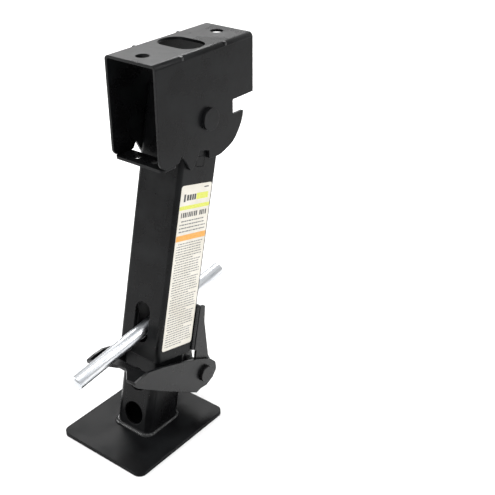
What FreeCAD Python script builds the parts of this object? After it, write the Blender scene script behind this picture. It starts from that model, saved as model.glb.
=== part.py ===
"""Swing-down telescoping stabilizer jack, in millimetres.

+Z is up, +Y points to the back of the jack and the origin is the centre of the foot plate's underside.
The bracket's pieces are drawn from the centre of the bracket's top face. The leg's pieces are drawn from
the cross pin's centre, with the leg hanging along -Z and its front face towards -Y, and then leaned.
"""
import FreeCAD, Part
import math
import os
import re
import Sketcher

V = FreeCAD.Vector
SHEET_NAME = "sizes"
ORIGIN_POINT = (-1, 1)          # geometry and point numbers of a sketch's own origin

SIZES = {
    # bracket
    "jack_height": 435.0,
    "bracket_back": 91.2,
    "plate": 3.0,
    "bracket_width": 68.0,
    "bracket_length": 152.0,
    "bracket_depth": 124.4,
    "bend_radius": 5.0,
    "bolt_spacing": 114.3,
    "bolt_hole_radius": 7.15,
    "window_width": 52.0,
    "window_length": 35.0,
    "window_corner": 16.0,
    "pivot_behind": 0.4,
    "pivot_below": 74.6,
    "strap_length": 23.0,
    "strap_below": 111.6,
    "strap_ahead": 61.5,
    "strap_corner": 5.0,
    "strap_hole_radius": 4.0,
    "strap_hole_offset": 12.0,
    # cross pin
    "pin_radius": 8.0,
    "pin_head_radius": 12.0,
    "pin_head": 4.5,
    "pin_neck_radius": 7.0,
    "pivot_clip_radius": 11.0,
    "running_fit": 0.05,
    # leg
    "leg_lean": 13.69,
    "tube_width": 60.0,
    "tube_corner": 5.0,
    "tube_above": 28.0,
    "tube_below": 276.0,
    "bush_radius": 10.0,
    "flange_radius": 12.5,
    "flange": 0.7,
    "slot_width": 21.5,
    "slot_top": 211.7,
    "slot_length": 48.3,
    "back_slot_width": 24.0,
    "back_slot_top": 200.0,
    "back_slot_length": 90.0,
    "inner_width": 51.0,
    "inner_corner": 7.5,
    "inner_top": 60.0,
    "inner_reach": 380.0,
    "hole_radius": 13.65,
    "hole_pitch": 43.7,
    "lowest_hole": 351.3,
    "holes_above": 6,
    "necked_pitches": 4,
    "neck_width": 18.0,
    "foot_width": 124.0,
    "foot_length": 144.0,
    "foot_thick": 5.0,
    "foot_corner": 9.0,
    "weld_leg": 4.0,
    "weld_bite": 0.5,
    # label
    "label_width": 49.8,
    "label_length": 191.5,
    "label_top": 71.4,
    "label_thick": 0.3,
    "label_corner": 3.0,
    # lock lever
    "ear_out": 34.0,
    "ear_foot": 21.5,
    "ear_foot_top": 219.0,
    "ear_foot_length": 55.0,
    "lever_back": 51.0,
    "lever_down": 307.9,
    "lever_width": 74.8,
    "lever_pin_radius": 6.0,
    "lever_head_radius": 10.0,
    "lever_head": 4.5,
    "lever_neck_radius": 5.0,
    "lever_clip_radius": 9.0,
    "pawl_width": 20.0,
    "hub_radius": 11.0,
    "hub_width": 28.0,
    "clip_thick": 1.2,
    "clip_mouth": 7.0,
    "clip_groove_gap": 0.45,
    "pin_chamfer": 0.75,
    "washer_thick": 2.0,
    # lock buttons
    "button_height": 11.0,
    "button_depth": 12.6,
    "button_middle": 46.5,
    "button_inner": 14.0,
    "button_flange": 3.0,
    "button_flange_rim": 2.4,
    "button_flange_at": 20.0,
    "sliding_gap": 0.3,
    "guide_half": 19.7,
    "guide_wall": 2.2,
    # springs
    "lever_coil_radius": 9.3,
    "lever_wire_radius": 0.8,
    "lever_coil_pitch": 2.6,
    "lever_coil_turns": 4,
    "lever_coil_start": 17.0,
    "button_coil_radius": 4.0,
    "button_wire_radius": 0.6,
    "button_coil_pitch": 4.0,
    # lift bar
    "bar_radius": 8.0,
    "bar_front": 132.7,
    "bar_back": 107.8,
    "bar_down": 235.7,
    "bar_slope": 21.2,
    "bar_chamfer": 1.5,
}

# Outlines, as (across, up, corner radius). Side outlines run along Y and Z.
BRACKET_CUT = (
    (-90, -60, 0), (-76, -60, 0), (-76, -108.6, 9), (-47.5, -108.6, 3), (-42.7, -100.5, 1), (-29.9, -124.4, 2),
    (-18.3, -111.8, 1), (-15.6, -104.7, 2), (0.3, -109.9, 2), (-0.6, -119.2, 2),
    (17.9, -120.9, 30), (42.2, -112.7, 30), (56.4, -93.6, 30), (59.2, -81.4, 2), (40.8, -81.4, 1.5),
    (40.8, -65, 1.5), (76, -65, 0), (90, -65, 0), (90, -140, 0), (-90, -140, 0))
EAR_OUTLINE = (
    (30, -219, 0), (38, -219, 2), (41, -240, 20), (57, -287, 10), (64, -296, 6), (66, -308, 8), (60, -320, 8),
    (44, -322, 6), (36, -312, 4), (34, -290, 4), (33, -274, 0), (30, -274, 0))
LEVER_OUTLINE = (
    (-72, -284.5, 2), (-62, -280, 4), (-50, -276.7, 8), (-29, -277.6, 20), (5, -281, 40), (33, -285, 30),
    (58, -291, 8), (69, -298, 8), (73, -308, 8), (68, -318, 8), (58, -325.5, 5), (47, -327, 3), (40, -330.5, 3),
    (-24, -308, 30), (-66, -291.5, 6), (-71.5, -288, 2))
LEVER_INSIDE = (
    (-110, -230, 0), (110, -230, 0), (110, -345, 0), (-110, -345, 0), (-110, -287, 0), (-42, -287, 0),
    (-42, -284, 0), (-110, -284, 0))
LEVER_SCOOP = ((-30, -82, 0), (-24, -71, 7), (-7, -54, 8), (7, -54, 8), (24, -71, 7), (30, -82, 0))
PAWL_OUTLINE = (
    (26.3, -261, 0.5), (40, -261, 4), (52, -280, 8), (60, -303, 4), (51, -307.9, 0), (40, -305, 0),
    (36, -280, 8), (35, -269.5, 3), (26.3, -269.5, 0.5))


def make_sheet(doc):
    """Add the sheet of driving dimensions."""
    sheet = doc.addObject("Spreadsheet::Sheet", SHEET_NAME)
    for row, (alias, value) in enumerate(SIZES.items(), start=1):
        sheet.set(f"A{row}", alias)
        sheet.set(f"B{row}", str(value))
        sheet.setAlias(f"B{row}", alias)
    doc.recompute()
    return sheet


def cell(expression):
    """Write an expression's sheet aliases with the sheet's name in front."""
    def prefixed(word):
        return f"{SHEET_NAME}.{word[0]}" if word[0] in SIZES else word[0]

    return re.sub(r"[a-z_]+", prefixed, expression)


def value(expression):
    """Work out an expression of sheet aliases as a number."""
    total = DOC.getObject(SHEET_NAME).evalExpression(cell(expression))
    return float(getattr(total, "Value", total))


def bind(target, prop, expression, unit=""):
    """Bind one property to an expression of sheet aliases."""
    target.setExpression(prop, f"({cell(expression)}){unit}")


def new_body(name):
    """Add a body whose label is its file name."""
    body = DOC.addObject("PartDesign::Body", name)
    body.Label = name
    return body


def place_on_bracket(body, behind="0", up="0"):
    """Place a body from the centre of the bracket's top face."""
    bind(body, "Placement.Base.y", f"bracket_back + ( {behind} )")
    bind(body, "Placement.Base.z", f"jack_height + ( {up} )")


def place_on_leg(body, back="0", down="0", lean="leg_lean"):
    """Place a body in the leaned leg's frame, a distance back from its axis and down it."""
    body.Placement = FreeCAD.Placement(V(), FreeCAD.Rotation(V(1, 0, 0), -1))
    lean_angle = "leg_lean * 1 deg"
    bind(body, "Placement.Base.y", f"bracket_back + pivot_behind + ( {back} ) * cos( {lean_angle} )"
         f" - ( {down} ) * sin( {lean_angle} )")
    bind(body, "Placement.Base.z", f"jack_height - pivot_below - ( {back} ) * sin( {lean_angle} )"
         f" - ( {down} ) * cos( {lean_angle} )")
    bind(body, "Placement.Rotation.Angle", f"- ( {lean} )", " * 1 deg")


def new_sketch(body, plane, offset=None):
    """Attach a sketch to one of the body's origin planes, moved along its normal."""
    sketch = body.newObject("Sketcher::SketchObject", f"{body.Name}_sketch")
    role = f"{plane}_Plane"
    sketch.AttachmentSupport = [(next(f for f in body.Origin.OriginFeatures if f.Role == role), "")]
    sketch.MapMode = "FlatFace"
    if offset:
        bind(sketch, "AttachmentOffset.Base.z", offset)
    return sketch


def add_round(sketch, radius, across="0", up="0"):
    """Draw a circle whose radius and centre are bound to the sheet."""
    centre = V(value(across), value(up), 0)
    circle = sketch.addGeometry(Part.Circle(centre, V(0, 0, 1), value(radius)))
    bound = (("Radius", radius), ("DistanceX", across), ("DistanceY", up))
    for kind, expression in bound:
        if kind == "Radius":
            number = sketch.addConstraint(Sketcher.Constraint(kind, circle, value(expression)))
        else:
            number = sketch.addConstraint(
                Sketcher.Constraint(kind, *ORIGIN_POINT, circle, 3, value(expression)))
        bind(sketch, f"Constraints[{number}]", expression)


def rounded_path(corners):
    """Turn corners with radii into lines and arcs."""
    count = len(corners)
    points = [V(across, up, 0) for across, up, _ in corners]
    ends = []
    edges = []
    for index, (_, _, radius) in enumerate(corners):
        here = points[index]
        back = (points[index - 1] - here).normalize()
        ahead = (points[(index + 1) % count] - here).normalize()
        if radius == 0:
            ends.append((here, here, None))
            continue
        half = back.getAngle(ahead) / 2
        bisector = (back + ahead).normalize()
        reach = radius / math.tan(half)
        middle = here + bisector * (radius / math.sin(half) - radius)
        ends.append((here + back * reach, here + ahead * reach, middle))
    for index, (start, end, middle) in enumerate(ends):
        if middle:
            edges.append(Part.Arc(start, middle, end))
        edges.append(Part.LineSegment(end, ends[(index + 1) % count][0]))
    return edges


def add_outline(sketch, corners):
    """Draw a closed outline and fix it in place."""
    for edge in rounded_path(corners):
        index = sketch.addGeometry(edge)
        sketch.addConstraint(Sketcher.Constraint("Block", index))


def add_rectangle(sketch, width, height, across="0", up="0", corner="0"):
    """Draw a rectangle of sheet sizes about a centre, with rounded corners if it has a radius."""
    half_width, half_height = value(width) / 2, value(height) / 2
    centre_x, centre_y = value(across), value(up)
    radius = value(corner)
    signs = ((-1, -1), (1, -1), (1, 1), (-1, 1))
    if radius:
        corners = [(centre_x + a * half_width, centre_y + b * half_height, radius) for a, b in signs]
        add_outline(sketch, corners)
        return
    points = [V(centre_x + a * half_width, centre_y + b * half_height, 0) for a, b in signs]
    lines = [sketch.addGeometry(Part.LineSegment(points[i], points[(i + 1) % 4])) for i in range(4)]
    for i, line in enumerate(lines):
        sketch.addConstraint(Sketcher.Constraint("Coincident", line, 2, lines[(i + 1) % 4], 1))
        sketch.addConstraint(Sketcher.Constraint("Vertical" if i % 2 else "Horizontal", line))
    bound = (("DistanceX", lines[0], 1, f"( {across} ) - ( {width} ) / 2"),
             ("DistanceX", lines[0], 2, f"( {across} ) + ( {width} ) / 2"),
             ("DistanceY", lines[1], 1, f"( {up} ) - ( {height} ) / 2"),
             ("DistanceY", lines[1], 2, f"( {up} ) + ( {height} ) / 2"))
    for kind, line, point, expression in bound:
        number = sketch.addConstraint(
            Sketcher.Constraint(kind, *ORIGIN_POINT, line, point, value(expression)))
        bind(sketch, f"Constraints[{number}]", expression)


def pad(sketch, length, middle=False, backwards=False):
    """Pad a sketch by a sheet length."""
    body = sketch.getParentGeoFeatureGroup()
    feature = body.newObject("PartDesign::Pad", f"{body.Name}_pad")
    feature.Profile = sketch
    feature.Midplane = middle
    feature.Reversed = backwards
    bind(feature, "Length", length)
    DOC.recompute()
    return feature


def pocket(sketch, length=None, middle=False, backwards=False):
    """Cut a sketch through everything on one side or both, or by a sheet length, and see that it cuts."""
    body = sketch.getParentGeoFeatureGroup()
    before = body.Shape.Volume
    feature = body.newObject("PartDesign::Pocket", f"{body.Name}_pocket")
    feature.Profile = sketch
    feature.Midplane = middle
    feature.Reversed = backwards
    if length:
        bind(feature, "Length", length)
    else:
        feature.Type = "ThroughAll"
    DOC.recompute()
    if body.Shape.Volume >= before:
        raise RuntimeError(f"{feature.Name} cuts nothing")
    return feature


def disc(body, radius, start, length):
    """Add a disc about the body's X axis."""
    sketch = new_sketch(body, "YZ", start)
    add_round(sketch, radius)
    return pad(sketch, length)


def bore(body, radius):
    """Cut a hole right along the body's X axis."""
    sketch = new_sketch(body, "YZ")
    add_round(sketch, radius)
    return pocket(sketch, middle=True)


def chamfer_end(body, feature, along, size):
    """Chamfer the round edge that lies furthest along a direction."""
    edges = feature.Shape.Edges
    rims = [index for index, edge in enumerate(edges) if edge.isClosed()]
    furthest = max(rims, key=lambda index: edges[index].CenterOfMass.dot(along))
    chamfer = body.newObject("PartDesign::Chamfer", f"{body.Name}_chamfer")
    chamfer.Base = (feature, [f"Edge{furthest + 1}"])
    bind(chamfer, "Size", size)
    DOC.recompute()
    return chamfer


def make_mount_bracket():
    """Inverted-U channel with a bolt hole at each end, a window and notched side plates."""
    body = new_body("mount_bracket")
    half, depth, plate = value("bracket_width / 2"), value("bracket_depth"), value("plate")
    bend, inner = value("bend_radius"), value("bend_radius - plate")
    section = new_sketch(body, "XZ")
    add_outline(section, (
        (-half, -depth, 0), (-half, 0, bend), (half, 0, bend), (half, -depth, 0),
        (half - plate, -depth, 0), (half - plate, -plate, inner), (plate - half, -plate, inner),
        (plate - half, -depth, 0)))
    pad(section, "bracket_length", middle=True)
    holes = new_sketch(body, "XY")
    add_round(holes, "bolt_hole_radius", up="bolt_spacing / 2")
    add_round(holes, "bolt_hole_radius", up="- bolt_spacing / 2")
    pocket(holes)
    window = new_sketch(body, "XY")
    add_rectangle(window, "window_width", "window_length", corner="window_corner")
    pocket(window)
    sides = new_sketch(body, "YZ")
    add_outline(sides, BRACKET_CUT)
    pocket(sides, middle=True)
    pin_holes = new_sketch(body, "YZ")
    add_round(pin_holes, "pin_radius + running_fit", "pivot_behind", "- pivot_below")
    pocket(pin_holes, middle=True)
    place_on_bracket(body)


def make_front_strap():
    """Strap under the side plates' lower front corners, with two small holes."""
    body = new_body("front_strap")
    plan = new_sketch(body, "XY")
    add_rectangle(plan, "bracket_width", "strap_length", corner="strap_corner")
    add_round(plan, "strap_hole_radius", "strap_hole_offset")
    add_round(plan, "strap_hole_radius", "- strap_hole_offset")
    pad(plan, "plate")
    place_on_bracket(body, "- strap_ahead", "- strap_below")


def make_headed_pin(name, radius, head_radius, head, neck_radius, outside):
    """Headed pin whose shaft crosses two plates and ends in a ring groove past its washer."""
    body = new_body(name)
    groove_start = f"( {outside} ) + washer_thick + sliding_gap"
    disc(body, head_radius, outside, head)
    shaft = new_sketch(body, "YZ", outside)
    add_round(shaft, radius)
    pad(shaft, f"2 * ( {outside} ) + washer_thick + sliding_gap", backwards=True)
    neck = new_sketch(body, "YZ", f"- ( {groove_start} )")
    add_round(neck, neck_radius)
    pad(neck, "clip_thick + sliding_gap", backwards=True)
    tip = new_sketch(body, "YZ", f"- ( {groove_start} + clip_thick + sliding_gap )")
    add_round(tip, radius)
    end = pad(tip, "plate", backwards=True)
    chamfer_end(body, end, V(-1, 0, 0), "pin_chamfer")
    return body


def make_washer(name, outer, inner, outside):
    """Flat washer against the left side."""
    body = new_body(name)
    disc(body, outer, f"- ( {outside} ) - washer_thick", "washer_thick")
    bore(body, inner)
    return body


def make_clip(name, outer, inner, outside):
    """Open retaining ring in a pin's groove."""
    body = new_body(name)
    disc(body, outer, f"- ( {outside} ) - washer_thick - clip_thick - clip_groove_gap", "clip_thick")
    bore(body, inner)
    mouth = new_sketch(body, "YZ")
    add_rectangle(mouth, "clip_mouth", "pin_head_radius * 2", up="- pin_head_radius")
    pocket(mouth, middle=True)
    return body


def make_pivot_hardware():
    """Cross pin, washer and ring that hold the leg in the bracket."""
    outside = "bracket_width / 2"
    place_on_leg(make_headed_pin("pivot_pin", "pin_radius", "pin_head_radius", "pin_head",
                                 "pin_neck_radius", outside))
    place_on_leg(make_washer("pivot_washer", "pin_head_radius", "pin_radius + sliding_gap", outside))
    place_on_leg(make_clip("pivot_clip", "pivot_clip_radius", "pin_neck_radius + running_fit", outside))


def add_tube_section(sketch, width, corner):
    """Draw a square tube's wall, with its inner corners one wall tighter."""
    add_rectangle(sketch, width, width, corner=corner)
    add_rectangle(sketch, f"{width} - 2 * plate", f"{width} - 2 * plate", corner=f"{corner} - plate")


def make_outer_tube():
    """Square tube with bush holes, button windows and a slot for the lift bar in front and back."""
    body = new_body("outer_tube")
    section = new_sketch(body, "XY", "- tube_below")
    add_tube_section(section, "tube_width", "tube_corner")
    pad(section, "tube_above + tube_below")
    side = new_sketch(body, "YZ")
    add_round(side, "bush_radius")
    add_rectangle(side, "button_depth + 2 * sliding_gap", "button_height + 2 * sliding_gap",
                  up="- button_middle")
    pocket(side, middle=True)
    front = new_sketch(body, "XZ")
    add_rectangle(front, "slot_width", "slot_length", up="- slot_top - slot_length / 2",
                  corner="slot_width / 2 - sliding_gap")
    pocket(front, backwards=True)
    back = new_sketch(body, "XZ")
    add_rectangle(back, "back_slot_width", "back_slot_length", up="- back_slot_top - back_slot_length / 2")
    pocket(back)
    place_on_leg(body)


def make_bush(name, hand):
    """Flanged bush in one side of the outer tube."""
    body = new_body(name)
    inside = "tube_width / 2 - plate" if hand > 0 else "- tube_width / 2"
    flange_at = "tube_width / 2" if hand > 0 else "- tube_width / 2 - flange"
    disc(body, "bush_radius", inside, "plate")
    disc(body, "flange_radius", flange_at, "flange")
    bore(body, "pin_radius + running_fit")
    place_on_leg(body)


def make_label():
    """Sticker on the tube's right side."""
    body = new_body("instruction_label")
    sketch = new_sketch(body, "YZ", "tube_width / 2")
    add_rectangle(sketch, "label_width", "label_length", up="- label_top - label_length / 2",
                  corner="label_corner")
    pad(sketch, "label_thick")
    place_on_leg(body)


def make_ear(name, hand):
    """Angle ear: a foot against the tube's back and a flange with the lever pin's hole."""
    body = new_body(name)
    flange_at = "ear_out - plate" if hand > 0 else "- ear_out"
    flange = new_sketch(body, "YZ", flange_at)
    add_outline(flange, EAR_OUTLINE)
    pad(flange, "plate")
    foot_at = "ear_out - ear_foot" if hand > 0 else "- ear_out"
    foot = new_sketch(body, "YZ", foot_at)
    add_rectangle(foot, "plate", "ear_foot_length", "tube_width / 2 + plate / 2",
                  "- ear_foot_top - ear_foot_length / 2")
    pad(foot, "ear_foot")
    hole = new_sketch(body, "YZ")
    add_round(hole, "lever_pin_radius + running_fit", "lever_back", "- lever_down")
    pocket(hole, middle=True)
    place_on_leg(body)


def make_ear_weld(name, hand):
    """Fillet weld between the tube's side and an ear's foot."""
    body = new_body(name)
    side, back = value("tube_width / 2"), value("tube_width / 2")
    size, bite = value("weld_leg"), value("weld_bite")
    section = new_sketch(body, "XY", "- ear_foot_top - ear_foot_length")
    add_outline(section, ((hand * side, back - size, 0), (hand * (side + size - bite), back, 0),
                          (hand * (side - bite), back, 0)))
    pad(section, "ear_foot_length")
    place_on_leg(body)


def make_lock_lever():
    """Folded lever: a side plate outside each ear, and a scooped finger plate across the front."""
    body = new_body("lock_lever")
    side = new_sketch(body, "YZ")
    add_outline(side, LEVER_OUTLINE)
    pad(side, "lever_width", middle=True)
    inside = new_sketch(body, "YZ")
    add_outline(inside, LEVER_INSIDE)
    pocket(inside, "lever_width - 2 * plate", middle=True)
    scoop = new_sketch(body, "XY")
    add_outline(scoop, LEVER_SCOOP)
    pocket(scoop)
    hole = new_sketch(body, "YZ")
    add_round(hole, "lever_pin_radius", "lever_back", "- lever_down")
    pocket(hole, middle=True)
    place_on_leg(body)


def make_lock_pawl():
    """Tooth on a hub that turns with the lever pin."""
    body = new_body("lock_pawl")
    tooth = new_sketch(body, "YZ")
    add_outline(tooth, PAWL_OUTLINE)
    pad(tooth, "pawl_width", middle=True)
    hub = new_sketch(body, "YZ")
    add_round(hub, "hub_radius", "lever_back", "- lever_down")
    pad(hub, "hub_width", middle=True)
    hole = new_sketch(body, "YZ")
    add_round(hole, "lever_pin_radius", "lever_back", "- lever_down")
    pocket(hole, middle=True)
    place_on_leg(body)


def make_lever_hardware():
    """Pin, washer and ring of the lock lever."""
    outside = "lever_width / 2"
    at = {"back": "lever_back", "down": "lever_down"}
    place_on_leg(make_headed_pin("lever_pin", "lever_pin_radius", "lever_head_radius", "lever_head",
                                 "lever_neck_radius", outside), **at)
    washer = make_washer("lever_washer", "lever_head_radius", "lever_pin_radius + sliding_gap", outside)
    clip = make_clip("lever_clip", "lever_clip_radius", "lever_neck_radius + running_fit", outside)
    place_on_leg(washer, **at)
    place_on_leg(clip, **at)


def make_inner_leg():
    """Square leg with a round hole near the foot and a scalloped row of ladder holes above."""
    body = new_body("inner_leg")
    section = new_sketch(body, "XY", "- inner_reach")
    add_tube_section(section, "inner_width", "inner_corner")
    pad(section, "inner_reach - inner_top")
    lowest = new_sketch(body, "XZ")
    add_round(lowest, "hole_radius", up="- lowest_hole")
    pocket(lowest, backwards=True)
    for steps in range(1, int(value("holes_above")) + 1):
        ladder = new_sketch(body, "XZ")
        add_round(ladder, "hole_radius", up=f"{steps} * hole_pitch - lowest_hole")
        pocket(ladder, middle=True)
    neck = new_sketch(body, "XZ")
    add_rectangle(neck, "neck_width", "necked_pitches * hole_pitch",
                  up="necked_pitches * hole_pitch - lowest_hole")
    pocket(neck, middle=True)
    lean = math.radians(value("leg_lean"))
    drop = value("jack_height - pivot_below - foot_thick") / math.cos(lean)
    half, low = value("inner_width"), value("inner_reach") + value("inner_width")
    rise = half * math.tan(lean)
    base = new_sketch(body, "YZ")
    add_outline(base, ((-half, -drop - rise, 0), (half, -drop + rise, 0), (half, -low, 0), (-half, -low, 0)))
    pocket(base, middle=True)
    place_on_leg(body)


def make_foot_plate():
    """Flat foot with rounded corners."""
    body = new_body("foot_plate")
    plan = new_sketch(body, "XY")
    add_rectangle(plan, "foot_width", "foot_length", corner="foot_corner")
    pad(plan, "foot_thick")
    body.Placement = FreeCAD.Placement()


def make_foot_weld():
    """Weld bead round the leg's base: a low frustum less the leaned leg."""
    lean = math.radians(value("leg_lean"))
    size, width = value("weld_leg"), value("inner_width")
    depth = width / math.cos(lean)
    centre = (value("bracket_back + pivot_behind")
              - value("jack_height - pivot_below - foot_thick") * math.tan(lean))
    wedge = DOC.addObject("Part::Wedge", "foot_weld_outside")
    lengths = {"Xmin": -width / 2 - size, "Xmax": width / 2 + size, "X2min": -width / 2, "X2max": width / 2,
               "Zmin": centre - depth / 2 - size, "Zmax": centre + depth / 2 + size,
               "Z2min": centre - depth / 2, "Z2max": centre + depth / 2 + size * math.tan(lean),
               "Ymin": 0, "Ymax": size}
    for prop, length in lengths.items():
        setattr(wedge, prop, length)
    wedge.Placement = FreeCAD.Placement(V(0, 0, value("foot_thick")), FreeCAD.Rotation(V(0, 1, 1), 180))
    leg = new_body("leg_core")
    section = new_sketch(leg, "XY", "- inner_reach")
    add_rectangle(section, "inner_width", "inner_width", corner="inner_corner")
    pad(section, "inner_top")
    place_on_leg(leg)
    weld = DOC.addObject("Part::Cut", "foot_weld")
    weld.Label = "foot_weld"
    weld.Base = wedge
    weld.Tool = leg


def make_button_guide():
    """Square guide for the two buttons, on a web from the tube's back wall."""
    body = new_body("button_guide")
    section = new_sketch(body, "YZ")
    across, up = "button_depth + 2 * sliding_gap", "button_height + 2 * sliding_gap"
    add_rectangle(section, f"{across} + 2 * guide_wall", f"{up} + 2 * guide_wall", up="- button_middle")
    pad(section, "2 * guide_half", middle=True)
    web = new_sketch(body, "YZ")
    web_length = "tube_width / 2 - plate"
    add_rectangle(web, web_length, "plate", f"( {web_length} ) / 2", "- button_middle")
    pad(web, "2 * guide_half", middle=True)
    hollow = new_sketch(body, "YZ")
    add_rectangle(hollow, across, up, up="- button_middle")
    pocket(hollow, middle=True)
    place_on_leg(body)


def make_button(name, hand):
    """Plunger with a shoulder inside the tube, flush with the tube's side."""
    body = new_body(name)
    start = "button_inner" if hand > 0 else "- tube_width / 2"
    plunger = new_sketch(body, "YZ", start)
    add_rectangle(plunger, "button_depth", "button_height", up="- button_middle")
    pad(plunger, "tube_width / 2 - button_inner")
    rim = "2 * button_flange_rim"
    shoulder_at = "button_flange_at" if hand > 0 else "- button_flange_at - button_flange"
    shoulder = new_sketch(body, "YZ", shoulder_at)
    add_rectangle(shoulder, f"button_depth + {rim}", f"button_height + {rim}", up="- button_middle")
    pad(shoulder, "button_flange")
    place_on_leg(body)


def make_spring(name, coil_radius, wire_radius, pitch, height, start, back="0", down="0"):
    """Round-wire coil along X."""
    helix = Part.makeHelix(value(pitch), value(height), value(coil_radius))
    circle = Part.Circle(V(value(coil_radius), 0, 0), V(0, 1, 0), value(wire_radius))
    section = Part.Wire(circle.toShape())
    coil = Part.Wire(helix).makePipeShell([section], True, True)
    turn = FreeCAD.Placement(V(value(start), value(back), -value(down)), FreeCAD.Rotation(V(0, 1, 0), 90))
    spring = DOC.addObject("Part::Feature", name)
    spring.Label = name
    spring.Shape = coil.transformed(turn.toMatrix(), copy=True)
    place_on_leg(spring)


def make_springs():
    """Lever spring on its pin, and the spring between the buttons."""
    make_spring("lever_spring", "lever_coil_radius", "lever_wire_radius", "lever_coil_pitch",
                "lever_coil_turns * lever_coil_pitch", "lever_coil_start", "lever_back", "lever_down")
    make_spring("button_spring", "button_coil_radius", "button_wire_radius", "button_coil_pitch",
                "2 * ( button_inner - button_wire_radius - running_fit )",
                "button_wire_radius + running_fit - button_inner", "0", "button_middle")


def make_lift_bar():
    """Round bar through the slots, lower at the front."""
    body = new_body("lift_bar")
    sketch = new_sketch(body, "XZ", "- bar_back")
    add_round(sketch, "bar_radius")
    rod = pad(sketch, "bar_back + bar_front")
    front = chamfer_end(body, rod, V(0, -1, 0), "bar_chamfer")
    chamfer_end(body, front, V(0, 1, 0), "bar_chamfer")
    place_on_leg(body, down="bar_down", lean="leg_lean - bar_slope")


def make_pieces():
    """Make every piece of the jack."""
    make_mount_bracket()
    make_front_strap()
    make_pivot_hardware()
    make_outer_tube()
    for side, hand in (("right", 1), ("left", -1)):
        make_bush(f"pivot_bush_{side}", hand)
        make_ear(f"lever_ear_{side}", hand)
        make_ear_weld(f"ear_weld_{side}", hand)
        make_button(f"lock_button_{side}", hand)
    make_label()
    make_lock_lever()
    make_lock_pawl()
    make_lever_hardware()
    make_inner_leg()
    make_foot_plate()
    make_foot_weld()
    make_button_guide()
    make_springs()
    make_lift_bar()


NODES = (
    "mount_bracket", "front_strap", "pivot_pin", "pivot_washer", "pivot_clip", "outer_tube",
    "pivot_bush_right", "pivot_bush_left", "lever_ear_right", "lever_ear_left", "ear_weld_right",
    "ear_weld_left", "instruction_label", "button_guide", "button_spring", "lever_spring",
    "lock_button_right", "lock_button_left", "lock_lever", "lock_pawl", "lever_pin", "lever_washer",
    "lever_clip", "inner_leg", "foot_plate", "foot_weld", "lift_bar")


def write_parts():
    """Check every object and write one file for each piece."""
    DOC.recompute()
    broken = [f"{o.Name}: {o.State}" for o in DOC.Objects if {"Invalid", "Error"} & set(o.State)]
    pieces = [DOC.getObjectsByLabel(name)[0] for name in NODES]
    for piece in pieces:
        shape = piece.Shape
        if shape.isNull() or not shape.isValid() or len(shape.Solids) != 1:
            broken.append(f"{piece.Label}: bad shape")
    if broken:
        raise RuntimeError("; ".join(broken))
    os.makedirs("parts", exist_ok=True)
    for piece in pieces:
        piece.Shape.exportStep(f"parts/{piece.Label}.step")
        print(f"{piece.Label}: {piece.Shape.Volume / 1000:.2f} cm3")


DOC = FreeCAD.newDocument("stabilizer_jack")
make_sheet(DOC)
make_pieces()
write_parts()
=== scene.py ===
"""Looks of a swing-down telescoping stabilizer jack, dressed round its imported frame.

Everything is in metres, in the frame's own axes: the floor is at z = 0 under the foot plate, +Y is the back
of the jack and +X its right side. The leg leans, so pieces that belong to it are placed by two lengths: how
far down the leg from the cross pin, and how far across it towards the back.
"""

import logging
import math
from dataclasses import dataclass, field
from enum import Enum
from typing import Any, Callable, Sequence

import bmesh
import bpy
from mathutils import Matrix, Vector


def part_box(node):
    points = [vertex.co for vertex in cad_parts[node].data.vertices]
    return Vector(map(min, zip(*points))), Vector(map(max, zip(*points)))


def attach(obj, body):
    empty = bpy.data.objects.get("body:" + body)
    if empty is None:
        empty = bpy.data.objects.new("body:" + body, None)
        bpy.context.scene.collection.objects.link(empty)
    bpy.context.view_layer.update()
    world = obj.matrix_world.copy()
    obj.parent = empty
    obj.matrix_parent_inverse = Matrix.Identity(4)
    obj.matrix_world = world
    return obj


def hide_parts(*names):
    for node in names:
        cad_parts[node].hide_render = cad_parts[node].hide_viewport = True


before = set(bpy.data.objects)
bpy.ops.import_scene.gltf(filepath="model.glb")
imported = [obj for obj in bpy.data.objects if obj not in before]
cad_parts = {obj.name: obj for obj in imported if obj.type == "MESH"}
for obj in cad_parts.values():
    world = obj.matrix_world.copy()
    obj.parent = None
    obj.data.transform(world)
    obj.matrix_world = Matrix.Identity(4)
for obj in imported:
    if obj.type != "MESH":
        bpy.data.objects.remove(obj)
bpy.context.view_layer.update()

LOG = logging.getLogger("jack")
MM = 0.001
LEG_LEAN = math.radians(13.69)
PIVOT = Vector((0.0, 91.6, 360.4)) * MM
DOWN_LEG = Vector((0.0, -math.sin(LEG_LEAN), -math.cos(LEG_LEAN)))
ACROSS_LEG = Vector((0.0, math.cos(LEG_LEAN), -math.sin(LEG_LEAN)))
RIGHT = Vector((1.0, 0.0, 0.0))
UP = Vector((0.0, 0.0, 1.0))
GRAIN_ROUGHNESS = 0.55
EDGE_SAMPLES = 6
JOIN_GAP = 0.002 * MM
EDGE_SEGMENTS = 2
SHARP_ANGLE = math.radians(35)
FEWEST_CORNER_STEPS = 3

Tree = bpy.types.NodeTree
Socket = bpy.types.NodeSocket
Node = bpy.types.Node
Material = bpy.types.Material
Piece = bpy.types.Object


class Slot(Enum):
    """Material slots of the record, not used by this script."""

    POWDER_COAT = "black_powder_coat"
    LABEL = "label_film"


class Body(Enum):
    """Bodies of the jack that new pieces ride on."""

    BRACKET = "bracket"
    OUTER_TUBE = "outer_tube"
    INNER_LEG = "inner_leg"


def linear(hex_colour: str) -> tuple[float, float, float, float]:
    """Turns an sRGB hex colour into linear light.

    Args:
        hex_colour: Six hex digits, red first.

    Returns:
        Linear red, green and blue, and an alpha of 1.
    """
    knee, slope, offset, power = 0.04045, 12.92, 0.055, 2.4
    channels = [int(hex_colour[i:i + 2], 16) / 255 for i in (0, 2, 4)]
    red, green, blue = (c / slope if c <= knee else ((c + offset) / (1 + offset)) ** power for c in channels)
    return red, green, blue, 1.0


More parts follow.
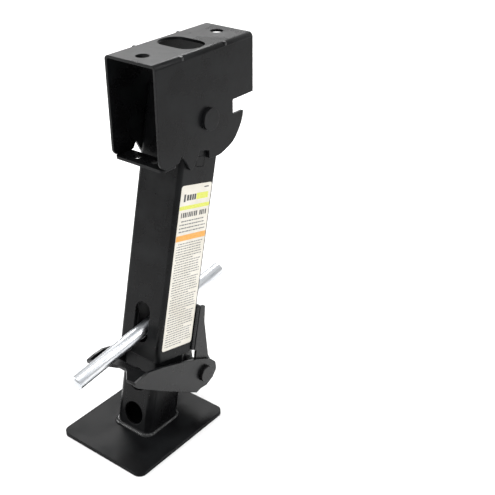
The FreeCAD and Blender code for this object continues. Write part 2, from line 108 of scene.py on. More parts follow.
def add_node(tree: Tree, kind: str, links: dict[Any, Any] | None = None, **settings: Any) -> Node:
    """Adds one node with its settings and its inputs.

    Args:
        tree: The tree that gets the node.
        kind: The node's type.
        links: What goes into each input, by its name or number: a socket to link, or a plain value.
        settings: The node's own properties.

    Returns:
        The new node.
    """
    node = tree.nodes.new(kind)
    for name, value in settings.items():
        setattr(node, name, value)
    for name, value in (links or {}).items():
        if isinstance(value, Socket):
            tree.links.new(value, node.inputs[name])
        else:
            node.inputs[name].default_value = value
    return node


def blend_colours(tree: Tree, amount: Any, low: Any, high: Any) -> Socket:
    """Mixes two colours.

    Args:
        tree: The tree that gets the node.
        amount: How much of the second colour shows, a socket or a number.
        low: The first colour.
        high: The second colour.

    Returns:
        The mixed colour.
    """
    node = add_node(tree, "ShaderNodeMix", {0: amount, 6: low, 7: high}, data_type="RGBA", blend_type="MIX")
    return node.outputs[2]


def spread(tree: Tree, value: Socket, low: float, high: float, to_low: float = 0.0,
           to_high: float = 1.0) -> Socket:
    """Stretches part of a value's range to a new range, and holds it there.

    Args:
        tree: The tree that gets the node.
        value: The value.
        low: Where the stretched part starts.
        high: Where it ends.
        to_low: What the start becomes.
        to_high: What the end becomes.

    Returns:
        The stretched value.
    """
    limits = {"Value": value, "From Min": low, "From Max": high, "To Min": to_low, "To Max": to_high}
    return add_node(tree, "ShaderNodeMapRange", limits).outputs["Result"]


def grain(tree: Tree, size: float, detail: float = 3.0, stretch: Vector | None = None,
          turn: float = 0.0) -> Socket:
    """Noise whose cells have a real size.

    Args:
        tree: The tree that gets the nodes.
        size: A cell's width in metres.
        detail: How many finer layers are added.
        stretch: How much finer the cells are along each axis.
        turn: Turn about X in radians, for grain that follows a leaning piece.

    Returns:
        The noise, from 0 to 1.
    """
    place = add_node(tree, "ShaderNodeTexCoord").outputs["Object"]
    turned = add_node(tree, "ShaderNodeMapping", {"Vector": place, "Rotation": (turn, 0.0, 0.0)})
    scaled = add_node(tree, "ShaderNodeMapping",
                      {"Vector": turned.outputs[0], "Scale": tuple(stretch or Vector((1.0, 1.0, 1.0)))})
    settings = {"Vector": scaled.outputs[0], "Scale": 1.0 / size, "Detail": detail,
                "Roughness": GRAIN_ROUGHNESS}
    return add_node(tree, "ShaderNodeTexNoise", settings).outputs[0]


def edge_mask(tree: Tree, radius: float, low: float, high: float) -> Socket:
    """How near a point is to a sharp edge.

    Args:
        tree: The tree that gets the nodes.
        radius: How far from the edge the mask reaches, in metres.
        low: Difference of normals where the mask starts.
        high: Difference of normals where the mask is full.

    Returns:
        The mask, 1 on the edge.
    """
    rounded = add_node(tree, "ShaderNodeBevel", {"Radius": radius}, samples=EDGE_SAMPLES).outputs[0]
    true = add_node(tree, "ShaderNodeNewGeometry").outputs["Normal"]
    match = add_node(tree, "ShaderNodeVectorMath", {0: rounded, 1: true}, operation="DOT_PRODUCT")
    apart = add_node(tree, "ShaderNodeMath", {0: 1.0, 1: match.outputs["Value"]}, operation="SUBTRACT")
    return spread(tree, apart.outputs[0], low, high)


@dataclass(frozen=True)
class Finish:
    """A finish: what a surface is made of and how it was made."""

    name: str

    def start(self) -> tuple[Material, Tree, Node]:
        """Makes the empty material.

        Returns:
            The material, its tree and its surface shader.
        """
        material = bpy.data.materials.new(self.name)
        material.use_nodes = True
        return material, material.node_tree, material.node_tree.nodes["Principled BSDF"]


@dataclass(frozen=True)
class PowderCoat(Finish):
    """Black powder coat, sprayed and baked on mild steel.

    It flows into a faint orange peel a couple of millimetres across, so reflections wobble a little. It pulls
    thin at sharp edges, where handling rubs it to a paler grey that is also a painted edge highlight, and
    fine dust dulls it in patches.
    """

    name: str = "black_powder_coat"
    colour: str = "0b0b0c"
    # Paler grey of rubbed edges, which is also a painted edge highlight.
    rubbed_and_highlight_colour: str = "3c3d3f"
    dust_colour: str = "151617"
    gloss_rough: float = 0.25
    dull_rough: float = 0.38
    peel_width: float = 2.2 * MM
    peel_detail: float = 1.5
    peel_depth: float = 0.05 * MM
    peel_strength: float = 0.5
    grit_width: float = 0.45 * MM
    grit_detail: float = 1.0
    grit_share: float = 0.12
    patch_width: float = 38.0 * MM
    patch_detail: float = 4.0
    patch_range: tuple[float, float] = (0.40, 0.68)
    edge_reach: float = 0.7 * MM
    edge_range: tuple[float, float] = (0.02, 0.22)
    scuff_width: float = 6.0 * MM
    scuff_detail: float = 5.0
    scuff_range: tuple[float, float] = (0.50, 0.66)
    rubbed_rough: float = 0.12
    sheen_level: float = 0.12

    def build(self) -> Material:
        """Makes the material."""
        material, tree, shader = self.start()
        patches = spread(tree, grain(tree, self.patch_width, self.patch_detail), *self.patch_range)
        grit = grain(tree, self.grit_width, self.grit_detail)
        peel = grain(tree, self.peel_width, self.peel_detail)
        edge = edge_mask(tree, self.edge_reach, *self.edge_range)
        scuffs = spread(tree, grain(tree, self.scuff_width, self.scuff_detail), *self.scuff_range)
        rubbed_and_highlight = add_node(tree, "ShaderNodeMath", {0: edge, 1: scuffs}, operation="MULTIPLY").outputs[0]
        dusty = blend_colours(tree, patches, linear(self.colour), linear(self.dust_colour))
        # Sharp edges turn paler grey where scuffed: rubbed wear, and also a painted highlight on the edges.
        colour = blend_colours(tree, rubbed_and_highlight, dusty, linear(self.rubbed_and_highlight_colour))
        tree.links.new(colour, shader.inputs["Base Color"])
        rough = spread(tree, patches, 0.0, 1.0, self.gloss_rough, self.dull_rough)
        worn = add_node(tree, "ShaderNodeMath", {0: rubbed_and_highlight, 1: self.rubbed_rough, 2: rough},
                        operation="MULTIPLY_ADD")
        tree.links.new(worn.outputs[0], shader.inputs["Roughness"])
        height = add_node(tree, "ShaderNodeMath", {0: grit, 1: self.grit_share, 2: peel},
                          operation="MULTIPLY_ADD")
        round_edge = add_node(tree, "ShaderNodeBevel", {"Radius": self.edge_reach}, samples=EDGE_SAMPLES)
        relief = {"Height": height.outputs[0], "Strength": self.peel_strength,
                  "Distance": self.peel_depth, "Normal": round_edge.outputs[0]}
        bump = add_node(tree, "ShaderNodeBump", relief)
        tree.links.new(bump.outputs[0], shader.inputs["Normal"])
        shader.inputs["Specular IOR Level"].default_value = self.sheen_level
        return material


@dataclass(frozen=True)
class ZincPlate(Finish):
    """Bright zinc plate on drawn steel bar.

    Drawing leaves fine lines along the bar, plating softens them, and a clear passivate gives a faint cool
    cast. Sliding in the leg leaves longer, duller scuffs.
    """

    name: str = "zinc_steel"
    colour: str = "d6d8da"
    dull_colour: str = "a6abb2"
    turn: float = 0.0
    line_width: float = 0.5 * MM
    line_detail: float = 3.0
    line_stretch: float = 0.03
    line_strength: float = 0.35
    line_depth: float = 0.03 * MM
    cloud_width: float = 14.0 * MM
    cloud_detail: float = 4.0
    cloud_stretch: float = 0.35
    cloud_range: tuple[float, float] = (0.42, 0.66)
    cloud_share: float = 0.45
    scuff_width: float = 1.4 * MM
    scuff_detail: float = 4.0
    scuff_stretch: float = 0.06
    scuff_range: tuple[float, float] = (0.56, 0.70)
    edge_radius: float = 0.3 * MM
    rough: float = 0.24
    dull_rough: float = 0.42

    def streaks(self, tree: Tree, width: float, detail: float, stretch: float) -> Socket:
        """Noise drawn out along the bar."""
        return grain(tree, width, detail, Vector((1.0, stretch, 1.0)), self.turn)

    def build(self) -> Material:
        """Makes the material."""
        material, tree, shader = self.start()
        lines = self.streaks(tree, self.line_width, self.line_detail, self.line_stretch)
        cloud = self.streaks(tree, self.cloud_width, self.cloud_detail, self.cloud_stretch)
        clouds = spread(tree, cloud, *self.cloud_range)
        scuff = self.streaks(tree, self.scuff_width, self.scuff_detail, self.scuff_stretch)
        scuffs = spread(tree, scuff, *self.scuff_range)
        dull = add_node(tree, "ShaderNodeMath", {0: clouds, 1: self.cloud_share, 2: scuffs},
                        operation="MULTIPLY_ADD", use_clamp=True).outputs[0]
        colour = blend_colours(tree, dull, linear(self.colour), linear(self.dull_colour))
        tree.links.new(colour, shader.inputs["Base Color"])
        tree.links.new(spread(tree, dull, 0.0, 1.0, self.rough, self.dull_rough), shader.inputs["Roughness"])
        edge = add_node(tree, "ShaderNodeBevel", {"Radius": self.edge_radius}, samples=EDGE_SAMPLES)
        relief = {"Height": lines, "Strength": self.line_strength, "Distance": self.line_depth,
                  "Normal": edge.outputs[0]}
        bump = add_node(tree, "ShaderNodeBump", relief)
        tree.links.new(bump.outputs[0], shader.inputs["Normal"])
        shader.inputs["Metallic"].default_value = 1.0
        return material


@dataclass(frozen=True)
class SpringSteel(Finish):
    """Spring steel, hardened and oiled: grey, with brown heat colour in places and a thin oily gloss."""

    name: str = "spring_steel"
    colour: str = "75777c"
    heat_colour: str = "554c44"
    patch_width: float = 5.0 * MM
    patch_detail: float = 3.0
    patch_range: tuple[float, float] = (0.42, 0.64)
    rough: float = 0.26
    heat_rough: float = 0.45

    def build(self) -> Material:
        """Makes the material."""
        material, tree, shader = self.start()
        patches = spread(tree, grain(tree, self.patch_width, self.patch_detail), *self.patch_range)
        colour = blend_colours(tree, patches, linear(self.colour), linear(self.heat_colour))
        tree.links.new(colour, shader.inputs["Base Color"])
        rough = spread(tree, patches, 0.0, 1.0, self.rough, self.heat_rough)
        tree.links.new(rough, shader.inputs["Roughness"])
        shader.inputs["Metallic"].default_value = 1.0
        return material


@dataclass(frozen=True)
class SinteredBronze(Finish):
    """Oil-soaked sintered bronze, pressed from powder: brown-gold, with a fine open grain."""

    name: str = "bush_bronze"
    colour: str = "a8834f"
    pore_colour: str = "5a4327"
    pore_width: float = 0.35 * MM
    pore_detail: float = 2.0
    pore_range: tuple[float, float] = (0.52, 0.62)
    pore_depth: float = 0.02 * MM
    pore_strength: float = 0.3
    rough: float = 0.42
    pore_rough: float = 0.7

    def build(self) -> Material:
        """Makes the material."""
        material, tree, shader = self.start()
        pores = spread(tree, grain(tree, self.pore_width, self.pore_detail), *self.pore_range)
        colour = blend_colours(tree, pores, linear(self.colour), linear(self.pore_colour))
        tree.links.new(colour, shader.inputs["Base Color"])
        rough = spread(tree, pores, 0.0, 1.0, self.rough, self.pore_rough)
        tree.links.new(rough, shader.inputs["Roughness"])
        relief = {"Height": pores, "Strength": self.pore_strength, "Distance": self.pore_depth}
        bump = add_node(tree, "ShaderNodeBump", relief, invert=True)
        tree.links.new(bump.outputs[0], shader.inputs["Normal"])
        shader.inputs["Metallic"].default_value = 1.0
        return material


@dataclass(frozen=True)
class VinylFilm(Finish):
    """White vinyl film, calendered and matt laminated: even and slightly warm, with a faint roll texture."""

    name: str = "label_film"
    colour: str = "dedad0"
    shade_colour: str = "d3cec2"
    patch_width: float = 22.0 * MM
    patch_detail: float = 3.0
    patch_range: tuple[float, float] = (0.35, 0.70)
    rough: float = 0.38
    rough_rise: float = 0.12
    grain_width: float = 0.6 * MM
    grain_detail: float = 2.0
    grain_depth: float = 0.01 * MM
    grain_strength: float = 0.2

    def build(self) -> Material:
        """Makes the material."""
        material, tree, shader = self.start()
        patches = spread(tree, grain(tree, self.patch_width, self.patch_detail), *self.patch_range)
        colour = blend_colours(tree, patches, linear(self.colour), linear(self.shade_colour))
        tree.links.new(colour, shader.inputs["Base Color"])
        rough = spread(tree, patches, 0.0, 1.0, self.rough, self.rough + self.rough_rise)
        tree.links.new(rough, shader.inputs["Roughness"])
        relief = {"Height": grain(tree, self.grain_width, self.grain_detail), "Strength": self.grain_strength,
                  "Distance": self.grain_depth}
        bump = add_node(tree, "ShaderNodeBump", relief)
        tree.links.new(bump.outputs[0], shader.inputs["Normal"])
        return material


@dataclass(frozen=True)
class PrintInk(Finish):
    """Solvent ink screen-printed on vinyl: a thin flat layer, a little patchy where the mesh starved it."""

    name: str = "label_ink"
    colour: str = "55585a"
    starved_colour: str = "7c7f80"
    mesh_width: float = 0.9 * MM
    mesh_detail: float = 2.0
    starved_range: tuple[float, float] = (0.45, 0.70)
    rough: float = 0.36
    starved_rough: float = 0.5

    def build(self) -> Material:
        """Makes the material."""
        material, tree, shader = self.start()
        starved = spread(tree, grain(tree, self.mesh_width, self.mesh_detail), *self.starved_range)
        colour = blend_colours(tree, starved, linear(self.colour), linear(self.starved_colour))
        tree.links.new(colour, shader.inputs["Base Color"])
        rough = spread(tree, starved, 0.0, 1.0, self.rough, self.starved_rough)
        tree.links.new(rough, shader.inputs["Roughness"])
        return material


@dataclass(frozen=True)
class StudioPaper(Finish):
    """Pale seamless paper, with a barely visible fibre."""

    name: str = "studio_paper"
    colour: str = "f7f7f7"
    fibre_colour: str = "f4f4f4"
    fibre_width: float = 3.0 * MM
    fibre_detail: float = 2.0
    rough: float = 0.85
    sheen_level: float = 0.15

    def build(self) -> Material:
        """Makes the material."""
        material, tree, shader = self.start()
        fibre = grain(tree, self.fibre_width, self.fibre_detail)
        colour = blend_colours(tree, fibre, linear(self.colour), linear(self.fibre_colour))
        tree.links.new(colour, shader.inputs["Base Color"])
        shader.inputs["Roughness"].default_value = self.rough
        shader.inputs["Specular IOR Level"].default_value = self.sheen_level
        return material


@dataclass
class Finishes:
    """Every finish of the jack, made once."""

    powder_coat: Material = field(default_factory=lambda: PowderCoat().build())
    weld_coat: Material = field(default_factory=lambda: PowderCoat(
        name="black_powder_coat_on_weld", gloss_rough=0.18, dull_rough=0.30, peel_depth=0.03 * MM,
        sheen_level=0.4).build())
    # Copy of the powder coat whose raised specular level makes the lever, its ears and its pin read lighter:
    # painted light.
    lever_coat_painted_light: Material = field(default_factory=lambda: PowderCoat(
        name="black_powder_coat_painted_light_on_lever", sheen_level=0.30).build())
    # Copy of the powder coat whose lowered specular level and higher roughness make the foot plate read
    # darker: painted shade.
    foot_coat_painted_shade: Material = field(default_factory=lambda: PowderCoat(
        name="black_powder_coat_painted_shade_on_foot", gloss_rough=0.30, dull_rough=0.42, sheen_level=0.05).build())
    zinc: Material = field(default_factory=lambda: ZincPlate().build())
    bar_zinc: Material = field(default_factory=lambda: ZincPlate(
        name="zinc_steel_drawn_bar", turn=math.radians(-11.3)).build())
    spring: Material = field(default_factory=lambda: SpringSteel().build())
    bronze: Material = field(default_factory=lambda: SinteredBronze().build())
    film: Material = field(default_factory=lambda: VinylFilm().build())
    grey_ink: Material = field(default_factory=lambda: PrintInk().build())
    green_ink: Material = field(default_factory=lambda: PrintInk(
        name="label_ink_green", colour="cdd24a", starved_colour="dadd7c").build())
    orange_ink: Material = field(default_factory=lambda: PrintInk(
        name="label_ink_orange", colour="dd9a3a", starved_colour="e6b062").build())
    dark_ink: Material = field(default_factory=lambda: PrintInk(
        name="label_ink_dark", colour="2b2d2f", starved_colour="47494b").build())


def dress(node: str, material: Material, edge: float = 0.0) -> None:
    """Gives a frame node its finish and softens its edges.

    Args:
        node: The node's name.
        material: The finish.
        edge: Width of the rounding on sharp edges in metres, or 0 for none.
    """
    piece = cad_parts[node]
    for slot in piece.material_slots:
        slot.material = material
    if edge:
        soften(piece, edge)
    LOG.info("dressed %s in %s", node, material.name)


def soften(piece: Piece, width: float) -> None:
    """Rounds a piece's sharp edges with modifiers, and leaves its mesh alone.

    Args:
        piece: The piece.
        width: Width of the rounding in metres.
    """
    joined = piece.modifiers.new("join_corners", "WELD")
    joined.merge_threshold = JOIN_GAP
    rounded = piece.modifiers.new("round_edges", "BEVEL")
    rounded.width = width
    rounded.segments = EDGE_SEGMENTS
    rounded.limit_method = "ANGLE"
    rounded.angle_limit = SHARP_ANGLE
    rounded.harden_normals = True
    rounded.use_clamp_overlap = True
    rounded.miter_outer = "MITER_ARC"


def on_leg(x: float, across: float, down: float) -> Vector:
    """A point of the leg.

    Args:
        x: How far to the right, in metres.
        across: How far towards the back, square to the leg.
        down: How far down the leg from the cross pin.

    Returns:
        The point in the frame's axes.
    """
    return PIVOT + RIGHT * x + ACROSS_LEG * across + DOWN_LEG * down


def finish_piece(mesh: bmesh.types.BMesh, name: str, material: Material, body: Body) -> Piece:
    """Turns a mesh into a piece that rides on a body.

    Args:
        mesh: The mesh, in the frame's axes.
        name: The piece's name.
        material: Its finish.
        body: The body it moves with.

    Returns:
        The piece.
    """
    bmesh.ops.recalc_face_normals(mesh, faces=mesh.faces)
    data = bpy.data.meshes.new(name)
    mesh.to_mesh(data)
    mesh.free()
    data.materials.append(material)
    data.polygons.foreach_set("use_smooth", [True] * len(data.polygons))
    piece = bpy.data.objects.new(name, data)
    bpy.context.scene.collection.objects.link(piece)
    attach(piece, body.value)
    LOG.info("made %s with %d faces on %s", name, len(data.polygons), body.value)
    return piece


def rounded_loop(half_x: float, half_y: float, corner: float, step: float) -> list[tuple[Vector, Vector]]:
    """A rounded rectangle, walked at even steps.

    Args:
        half_x: Half its width.
        half_y: Half its length.
        corner: Radius of its corners.
        step: Distance between points.

    Returns:
        Each point with its outward direction, in the rectangle's plane.
    """
    walk: list[tuple[Vector, Vector]] = []
    for turn in range(4):
        angle = turn * math.pi / 2
        outward = Vector((math.cos(angle), math.sin(angle), 0))
        along = Vector((-math.sin(angle), math.cos(angle), 0))
        reach, run = (half_x, half_y) if turn % 2 == 0 else (half_y, half_x)
        straight = 2 * (run - corner)
        count = round(straight / step)
        for i in range(count):
            walk.append((outward * reach + along * (straight * i / count - straight / 2), outward))
        centre = outward * (reach - corner) + along * (run - corner)
        count = max(FEWEST_CORNER_STEPS, round(corner * math.pi / 2 / step))
        for i in range(count):
            bend = angle + math.pi / 2 * i / count
            direction = Vector((math.cos(bend), math.sin(bend), 0))
            walk.append((centre + direction * corner, direction))
    return walk


@dataclass
class WeldBead:
    """A weld bead: overlapping ripples laid along a corner between two faces.

    The ripples are arcs, so each section runs a little behind at its middle.
    """

    leg: float = 4.0 * MM
    ripple: float = 2.1 * MM
    swell: float = 0.10
    swell_fade: float = 0.7
    lag: float = 0.55
    points: int = 9
    size: float = 0.80
    belly: float = 0.06
    squareness: float = 1.25
    long_wander: float = 0.05
    long_wave: float = 9.0 * MM
    short_wander: float = 0.04
    short_wave: float = 3.7 * MM
    short_phase: float = 1.3
    root: float = 0.8
    tuck: float = 0.9 * MM
    sunk: float = 0.3 * MM

    def section(self, distance: float) -> list[tuple[float, float]]:
        """One section of the bead.

        Args:
            distance: How far along the bead it is.

        Returns:
            Points as shares of distance out from one face and up from the other.
        """
        out: list[tuple[float, float]] = []
        slow = self.long_wander * math.sin(distance / self.long_wave)
        quick = self.short_wander * math.sin(distance / self.short_wave + self.short_phase)
        wander = 1 + slow + quick
        for i in range(self.points):
            angle = math.pi / 2 * i / (self.points - 1)
            middle = math.sin(2 * angle)
            phase = (distance / self.ripple + self.lag * middle) % 1
            crest = self.swell * middle * (1 - phase) ** self.swell_fade
            size = self.leg * wander * (self.size + self.belly * middle + crest)
            out.append((size * math.cos(angle) ** self.squareness, size * math.sin(angle) ** self.squareness))
        return out

    def sweep(self, mesh: bmesh.types.BMesh, path: Sequence[tuple[Vector, Vector, Vector]],
              closed: bool) -> None:
        """Lays the bead along a path.

        Args:
            mesh: The mesh that gets it.
            path: Each point of the corner, with the two directions along its faces.
            closed: True if the path meets itself.
        """
        rings = []
        distance = 0.0
        last = path[0][0]
        for corner, out, rise in path:
            distance += (corner - last).length
            last = corner
            points = [corner + out * a + rise * b for a, b in self.section(distance)]
            points.append(corner - out * self.tuck + rise * (self.leg * self.root))
            points.append(corner - out * self.tuck - rise * self.sunk)
            points.append(corner + out * (self.leg * self.root) - rise * self.sunk)
            rings.append([mesh.verts.new(p) for p in points])
        pairs = list(zip(rings, rings[1:]))
        if closed:
            pairs.append((rings[-1], rings[0]))
        for a, b in pairs:
            count = len(a)
            for i in range(count):
                mesh.faces.new((a[i], a[(i + 1) % count], b[(i + 1) % count], b[i]))
        if not closed:
            mesh.faces.new(rings[0])
            mesh.faces.new(list(reversed(rings[-1])))


@dataclass
class Bracket:
    """The folded channel that bolts to the vehicle, with its front strap and the cross pin's hardware."""

    finishes: Finishes
    edge: float = 0.5 * MM
    nodes: tuple[str, ...] = ("mount_bracket", "front_strap", "pivot_pin")
    bend: float = 5.0 * MM
    half_width: float = 34.0 * MM
    dart_places: tuple[float, float] = (55.0 * MM, 122.0 * MM)
    dart_half_width: float = 1.9 * MM
    dart_half_turn: float = math.radians(40)
    dart_height: float = 1.5 * MM
    dart_gap: float = 0.05 * MM
    dart_segments: tuple[int, int] = (32, 20)
    washer_edge: float = 0.25 * MM

    def dart(self, name: str, hand: int, back: float) -> None:
        """Presses one stiffening dart out of a top bend.

        Args:
            name: The piece's name.
            hand: 1 on the right and -1 on the left.
            back: Where along the bend it is.
        """
        mesh = bmesh.new()
        around, along_axis = self.dart_segments
        bmesh.ops.create_uvsphere(mesh, u_segments=around, v_segments=along_axis, radius=1.0)
        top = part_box("mount_bracket")[1].z
        flush = self.bend - self.dart_gap
        for vert in mesh.verts:
            along, across, proud = vert.co
            angle = math.pi / 4 + self.dart_half_turn * along
            reach = self.bend + self.dart_height * proud
            out, rise = (min(reach * share, flush) for share in (math.sin(angle), math.cos(angle)))
            vert.co = Vector((hand * (self.half_width - self.bend + out),
                              back + self.dart_half_width * across, top - self.bend + rise))
        finish_piece(mesh, name, self.finishes.weld_coat, Body.BRACKET)

    def build(self) -> None:
        """Dresses the bracket's nodes and presses its darts."""
        for node in self.nodes:
            dress(node, self.finishes.powder_coat, self.edge)
        for side, hand in (("right", 1), ("left", -1)):
            for place, back in zip(("front", "back"), self.dart_places):
                self.dart(f"bend_dart_{side}_{place}", hand, back)
        dress("pivot_washer", self.finishes.zinc, self.washer_edge)
        dress("pivot_clip", self.finishes.spring)


@dataclass
class LabelPrint:
    """The label's generic print: colour bars and rows of dashes that stand for text."""

    finishes: Finishes
    face: float = 30.3 * MM
    lift: float = 0.03 * MM
    front: float = -21.6 * MM
    back: float = 21.6 * MM
    top: float = 71.4 * MM
    band_half: float = 24.6 * MM
    patch_margin: float = 1.0 * MM
    paragraph: int = 7
    indent: float = 2.0 * MM
    last_row_gap: float = 14.0 * MM
    ragged_stride: int = 5
    ragged_kinds: int = 4
    shortest: float = 1.0 * MM
    length_mm: float = 1.4
    longer_mm: float = 0.32
    length_stride: int = 7
    length_kinds: int = 11
    dash_gap: float = 0.75 * MM

    def patch(self, mesh: bmesh.types.BMesh, start: float, end: float, down: float, height: float) -> None:
        """Adds one printed patch.

        Args:
            mesh: The mesh that gets it.
            start: Its edge nearer the front, across the leg.
            end: Its edge nearer the back.
            down: Its upper edge, down from the label's top.
            height: Its height.
        """
        x = self.face + self.lift
        top = self.top + down
        corners = [(start, top), (end, top), (end, top + height), (start, top + height)]
        mesh.faces.new([mesh.verts.new(on_leg(x, across, low)) for across, low in corners])

    def bars(self, name: str, material: Material, rows: Sequence[tuple[float, float, float, float]]) -> None:
        """Makes one colour of solid bars.

        Args:
            name: The piece's name.
            material: Its ink.
            rows: Start, end, distance down and height of each bar.
        """
        mesh = bmesh.new()
        for row in rows:
            self.patch(mesh, *row)
        finish_piece(mesh, name, material, Body.OUTER_TUBE)

    def dashes(self, name: str, material: Material, top: float, bottom: float, pitch: float, height: float,
               seed: int) -> None:
        """Makes rows of dashes that stand for lines of text.

        Args:
            name: The piece's name.
            material: Their ink.
            top: The first row, down from the label's top.
            bottom: Where the rows stop.
            pitch: Distance from row to row.
            height: Height of a dash.
            seed: Where the dashes' run of lengths starts.
        """
        mesh = bmesh.new()
        step = seed
        down = top
        row = 0
        while down < bottom:
            line = row % self.paragraph
            across = self.front + (self.indent if line == 0 else 0.0)
            ragged = (step * self.ragged_stride % self.ragged_kinds) * MM
            stop = self.back - (self.last_row_gap if line == self.paragraph - 1 else ragged)
            while across < stop - self.shortest:
                kind = step * self.length_stride % self.length_kinds
                length = (self.length_mm + kind * self.longer_mm) * MM
                self.patch(mesh, across, min(across + length, stop), down, height)
                across += length + self.dash_gap
                step += 1
            down += pitch
            row += 1
        finish_piece(mesh, name, material, Body.OUTER_TUBE)

    def marks(self, name: str, rows_mm: Sequence[tuple[float, float, float, float]]) -> None:
        """Makes dark marks from rows given in millimetres."""
        rows = [tuple(value * MM for value in row) for row in rows_mm]
        self.bars(name, self.finishes.dark_ink, rows)

    def build(self) -> None:
        """Prints the label, with every bar as its start, end, distance down and height."""
        inks = self.finishes
        full = self.band_half
        self.bars("label_green_band", inks.green_ink, [(-full, full, 22.6 * MM, 4.4 * MM)])
        self.bars("label_green_patch", inks.green_ink,
                  [(1.0 * MM, self.back - self.patch_margin, 10.2 * MM, 7.0 * MM)])
        self.bars("label_orange_band", inks.orange_ink, [(-full, full, 55.8 * MM, 6.6 * MM)])
        heading = [(-19.5, -16.6, 9.6, 8.4), (-14.6, -11.4, 10.6, 6.4), (-10.4, -7.2, 10.6, 6.4),
                   (-6.2, -3.4, 10.6, 6.4), (-2.6, 0.2, 10.6, 6.4), (12.5, 20.0, 3.6, 1.3)]
        self.marks("label_heading_marks", heading)
        first, pitch, wide, narrow, down, height = -21.0, 3.05, 2.1, 1.5, 30.2, 5.6
        count, word_gap = 14, 9
        title = [(first + pitch * i, first + pitch * i + (wide if i % 3 else narrow), down, height)
                 for i in range(count) if i != word_gap]
        self.marks("label_title_marks", title)
        self.dashes("label_short_rows", inks.grey_ink, top=39.4 * MM, bottom=53.0 * MM, pitch=3.9 * MM,
                    height=1.25 * MM, seed=3)
        self.dashes("label_long_rows", inks.grey_ink, top=65.4 * MM, bottom=187.0 * MM, pitch=2.95 * MM,
                    height=0.95 * MM, seed=8)


@dataclass
class OuterTube:
    """The outer leg tube, with its bushes, lever ears, label, button guide and springs."""

    finishes: Finishes
    edge: float = 0.45 * MM
    guide_edge: float = 0.3 * MM
    weld: WeldBead = field(default_factory=lambda: WeldBead(leg=3.7 * MM))
    weld_top: float = 219.4 * MM
    weld_bottom: float = 273.6 * MM
    half_width: float = 30.0 * MM
    step: float = 0.35 * MM

    def ear_weld(self, name: str, hand: int) -> None:
        """Lays the bead between the tube's side and an ear.

        Args:
            name: The frame node that the bead stands for.
            hand: 1 on the right and -1 on the left.
        """
        mesh = bmesh.new()
        count = round((self.weld_bottom - self.weld_top) / self.step)
        run = self.weld_bottom - self.weld_top
        path = []
        for i in range(count + 1):
            down = self.weld_top + run * i / count
            path.append((on_leg(hand * self.half_width, self.half_width, down), RIGHT * hand, -ACROSS_LEG))
        self.weld.sweep(mesh, path, closed=False)
        bead = finish_piece(mesh, name + "_bead", self.finishes.weld_coat, Body.OUTER_TUBE)
        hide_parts(name)

    def build(self) -> None:
        """Dresses the tube and what is fixed to it."""
        dress("outer_tube", self.finishes.powder_coat, self.edge)
        # The ears take the copy of the coat with painted light.
        for node in ("lever_ear_right", "lever_ear_left"):
            dress(node, self.finishes.lever_coat_painted_light, self.edge)
        dress("button_guide", self.finishes.powder_coat, self.guide_edge)
        for node in ("pivot_bush_right", "pivot_bush_left"):
            dress(node, self.finishes.bronze)
        for node in ("button_spring", "lever_spring"):
            dress(node, self.finishes.spring)
        dress("instruction_label", self.finishes.film)
        for side, hand in (("right", 1), ("left", -1)):
            self.ear_weld(f"ear_weld_{side}", hand)
        LabelPrint(self.finishes).build()


@dataclass
class LockButtons:
    """The two sprung buttons that hold the leg down."""

    finishes: Finishes
    edge: float = 0.35 * MM

    def build(self) -> None:
        """Dresses both buttons."""
        for node in ("lock_button_right", "lock_button_left"):
            dress(node, self.finishes.powder_coat, self.edge)


@dataclass
class LockLever:
    """The lever with its pawl and its pin."""

    finishes: Finishes
    edge: float = 0.5 * MM
    washer_edge: float = 0.25 * MM

    def build(self) -> None:
        """Dresses the lever's nodes."""
        # The lever's pieces take the copy of the coat with painted light.
        for node in ("lock_lever", "lock_pawl", "lever_pin"):
            dress(node, self.finishes.lever_coat_painted_light, self.edge)
        dress("lever_washer", self.finishes.zinc, self.washer_edge)
        dress("lever_clip", self.finishes.spring)


@dataclass
class InnerLeg:
    """The inner leg, with its foot plate and the weld round its base."""

    finishes: Finishes
    edge: float = 0.5 * MM
    plate_edge: float = 0.7 * MM
    half_width: float = 25.5 * MM
    corner: float = 7.5 * MM
    plate_top: float = 5.0 * MM
    step: float = 0.35 * MM
    weld: WeldBead = field(default_factory=lambda: WeldBead(leg=4.6 * MM))

    def foot_weld(self) -> None:
        """Lays the bead round the leg's base."""
        mesh = bmesh.new()
        low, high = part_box("foot_weld")
        centre = Vector((0.0, PIVOT.y - (PIVOT.z - self.plate_top) * math.tan(LEG_LEAN), self.plate_top))
        half_length = self.half_width / math.cos(LEG_LEAN)
        rise = (UP + Vector((0.0, math.tan(LEG_LEAN), 0.0))).normalized()
        path = []
        for point, outward in rounded_loop(self.half_width, half_length, self.corner, self.step):
            path.append((centre + point, outward, rise))
        self.weld.sweep(mesh, path, closed=True)
        bead = finish_piece(mesh, "foot_weld_bead", self.finishes.weld_coat, Body.INNER_LEG)
        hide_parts("foot_weld")
        LOG.info("foot weld spans %.1f mm, frame's %.1f mm", 2 * half_length / MM, (high - low).y / MM)

    def build(self) -> None:
        """Dresses the leg and its plate, and lays the weld."""
        dress("inner_leg", self.finishes.powder_coat, self.edge)
        # The foot plate takes the copy of the coat with painted shade.
        dress("foot_plate", self.finishes.foot_coat_painted_shade, self.plate_edge)
        self.foot_weld()


@dataclass
class LiftBar:
    """The round bar through the leg's slots."""

    finishes: Finishes
    edge: float = 0.3 * MM

    def build(self) -> None:
        """Dresses the bar."""
        dress("lift_bar", self.finishes.bar_zinc, self.edge)


@dataclass
class SoftBox:
    """A flat studio light."""

    name: str
    place: Vector
    aim: Vector
    width: float
    height: float
    watts: float

    def build(self) -> None:
        """Hangs the light."""
        data = bpy.data.lights.new(self.name, "AREA")
        data.shape = "RECTANGLE"
        data.size = self.width
        data.size_y = self.height
        data.energy = self.watts
        light = bpy.data.objects.new(self.name, data)
        light.location = self.place
        light.rotation_mode = "QUATERNION"
        light.rotation_quaternion = (self.aim - self.place).to_track_quat("-Z", "Y")
        bpy.context.scene.collection.objects.link(light)


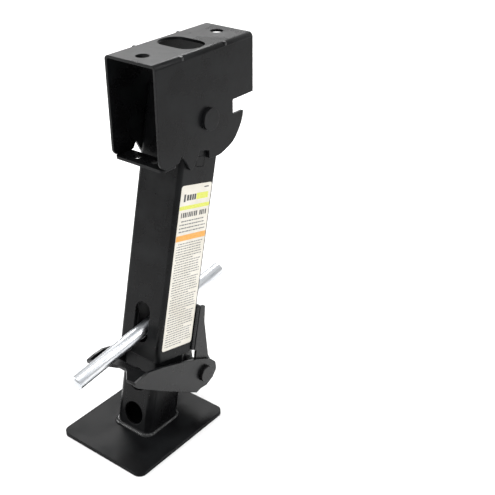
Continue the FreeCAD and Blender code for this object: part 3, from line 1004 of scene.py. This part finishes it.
@dataclass
class Studio:
    """Pale paper floor, soft lights and the camera."""

    floor_half: float = 9.0
    floor_gap: float = 0.05 * MM
    air: float = 0.68
    target: Vector = field(default_factory=lambda: Vector((0.0, 0.05, 0.22)))
    camera_place: Vector = field(default_factory=lambda: Vector((0.61087, -0.58589, 0.69310)))
    camera_turns: tuple[float, float, float] = (61.3422, 37.8557, -0.2902)
    lens: float = 65.611
    sensor_width: float = 36.0
    clip: tuple[float, float] = (0.05, 50.0)

    def floor(self) -> None:
        """Lays the floor."""
        mesh = bmesh.new()
        half = self.floor_half
        corners = ((-half, -half), (half, -half), (half, half), (-half, half))
        mesh.faces.new([mesh.verts.new((x, y, -self.floor_gap)) for x, y in corners])
        data = bpy.data.meshes.new("studio_floor")
        mesh.to_mesh(data)
        mesh.free()
        data.materials.append(StudioPaper().build())
        floor = bpy.data.objects.new("studio_floor", data)
        bpy.context.scene.collection.objects.link(floor)

    def lights(self) -> None:
        """Hangs the soft lights and fills the room with even light."""
        world = bpy.data.worlds.new("studio_air")
        world.use_nodes = True
        background = world.node_tree.nodes["Background"]
        background.inputs["Color"].default_value = linear("ffffff")
        background.inputs["Strength"].default_value = self.air
        bpy.context.scene.world = world
        boxes = (
            SoftBox("soft_box_ceiling", place=Vector((0.0, 0.0, 6.0)), aim=Vector((0.0, 0.0, 0.0)),
                    width=14.0, height=14.0, watts=190.0),
            SoftBox("soft_box_back", place=Vector((-1.45, 1.40, 1.80)), aim=self.target,
                    width=1.3, height=0.8, watts=36.0),
            SoftBox("soft_box_left", place=Vector((-1.6, -1.1, 1.0)), aim=self.target,
                    width=0.4, height=1.4, watts=24.0),
            SoftBox("soft_box_right", place=Vector((1.5, 0.6, 1.3)), aim=self.target,
                    width=0.25, height=1.3, watts=9.0),
            SoftBox("soft_box_top", place=Vector((0.3, -0.3, 2.0)), aim=self.target,
                    width=0.9, height=0.9, watts=14.0),
        )
        for box in boxes:
            box.build()

    def camera(self) -> None:
        """Sets up the camera."""
        data = bpy.data.cameras.new("camera")
        data.lens = self.lens
        data.sensor_width = self.sensor_width
        data.clip_start, data.clip_end = self.clip
        camera = bpy.data.objects.new("camera", data)
        tilt, turn, roll = (math.radians(a) for a in self.camera_turns)
        turned = Matrix.Rotation(turn, 4, "Z") @ Matrix.Rotation(tilt, 4, "X") @ Matrix.Rotation(roll, 4, "Z")
        camera.matrix_world = Matrix.Translation(self.camera_place) @ turned
        bpy.context.scene.collection.objects.link(camera)
        bpy.context.scene.camera = camera

    def build(self) -> None:
        """Builds the studio."""
        self.floor()
        self.lights()
        self.camera()
        bpy.context.scene.view_settings.view_transform = "Standard"


def main() -> None:
    """Builds the jack's looks, piece by piece, and the studio round it."""
    logging.basicConfig(level=logging.INFO, format="%(message)s")
    finishes = Finishes()
    builders: list[Callable[[], None]] = [
        Bracket(finishes).build,
        OuterTube(finishes).build,
        LockButtons(finishes).build,
        LockLever(finishes).build,
        InnerLeg(finishes).build,
        LiftBar(finishes).build,
        Studio().build,
    ]
    for build in builders:
        build()


if __name__ == "__main__":
    main()
